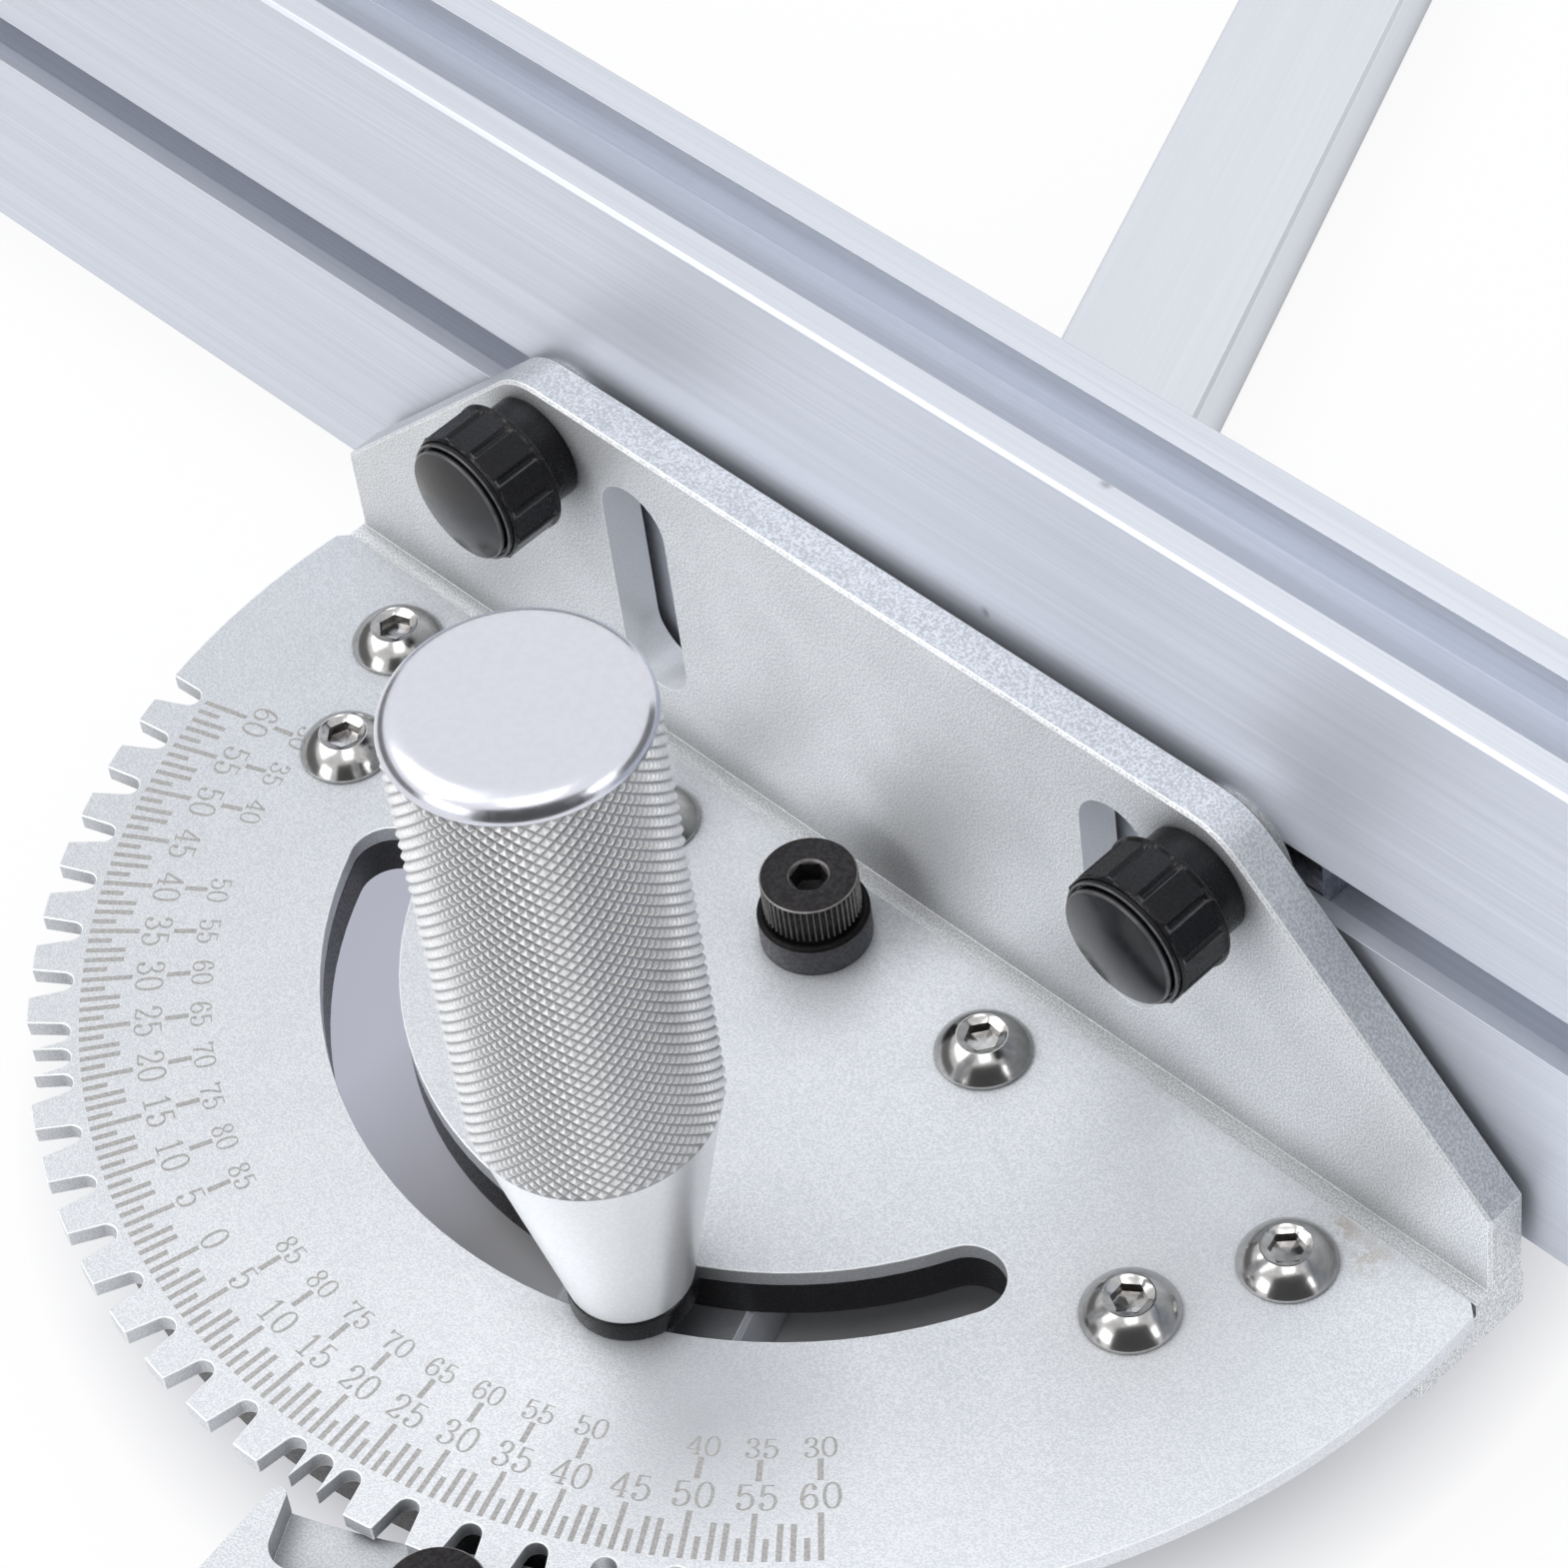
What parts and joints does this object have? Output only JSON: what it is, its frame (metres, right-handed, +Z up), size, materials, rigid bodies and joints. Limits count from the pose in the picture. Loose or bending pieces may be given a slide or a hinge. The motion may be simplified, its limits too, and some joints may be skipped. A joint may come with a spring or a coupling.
{
  "type": "miter gauge",
  "caption": "Miter gauge: slot bar, swivelling notched protractor head with a scale, index pawl, clamping handle and a sliding T-slot fence on a bracket.",
  "frame": {"origin": "on the head's pivot axis, at the bar's underside", "axes": "+X along the fence, +Y from the pivot to the fence, +Z up"},
  "size_m": [0.4, 0.4226, 0.0989],
  "materials": {
    "bar_steel": "ground flat, fine lengthwise grain",
    "plate_steel": "bead-blasted, with dark engraved scale",
    "spacer_black": "black anodised, satin",
    "bracket_grey": "bead-blasted, machined edges",
    "fence_aluminium": "clear anodised, drawn lengthwise",
    "screw_steel": "bright stainless",
    "bolt_steel": "zinc plated",
    "black_screw": "black oxide, knurled",
    "knob_black": "moulded, semi-gloss",
    "cap_black": "moulded, glossy dome",
    "insert_brass": "turned",
    "handle_steel": "turned, diamond knurl, polished shoulder",
    "washer_black": "moulded washer",
    "pawl_steel": "bead-blasted"
  },
  "bodies": {
    "base": {"miter_bar": "bar_steel", "pivot_screw": "black_screw", "pivot_cup": "black_screw", "pawl_screw": "black_screw", "pawl_cup": "black_screw"},
    "head": {"head_plate": "plate_steel", "spacer_plate": "spacer_black", "bracket": "bracket_grey", "head_screw_1": "screw_steel", "head_screw_2": "screw_steel", "head_screw_3": "screw_steel", "head_screw_4": "screw_steel", "head_screw_5": "screw_steel", "head_screw_6": "screw_steel", "t_bolt_left": "bolt_steel", "t_bolt_right": "bolt_steel"},
    "fence": {"fence_extrusion": "fence_aluminium"},
    "knob_left": {"knob_body_left": "knob_black", "knob_cap_left": "cap_black", "knob_insert_left": "insert_brass"},
    "knob_right": {"knob_body_right": "knob_black", "knob_cap_right": "cap_black", "knob_insert_right": "insert_brass"},
    "handle": {"handle_grip": "handle_steel", "handle_washer": "washer_black", "handle_stud": "bolt_steel"},
    "pawl": {"index_pawl": "pawl_steel"}
  },
  "joints": [
    {"name": "head_swivel", "type": "hinge", "parent": "base", "child": "head", "pos_m": [0, 0, 0.014], "axis": [0, 0, 1], "range_deg": [-37.5, 82.5]},
    {"name": "fence_slide", "type": "slide", "parent": "head", "child": "fence", "axis": [1, 0, 0], "range_m": [-0.145, 0.145]},
    {"name": "knob_left_turn", "type": "hinge", "parent": "head", "child": "knob_left", "pos_m": [-0.0448, 0.0096, 0.04945], "axis": [0, -1, 0], "continuous": true},
    {"name": "knob_right_turn", "type": "hinge", "parent": "head", "child": "knob_right", "pos_m": [0.0448, 0.0096, 0.04945], "axis": [0, -1, 0], "continuous": true},
    {"name": "handle_turn", "type": "hinge", "parent": "base", "child": "handle", "pos_m": [0.01779, -0.04296, 0.016], "axis": [0, 0, 1], "continuous": true},
    {"name": "pawl_swing", "type": "hinge", "parent": "base", "child": "pawl", "pos_m": [0.03398, -0.08204, 0.0095], "axis": [0, 0, 1], "range_deg": [-11.5, 0]}
  ]
}
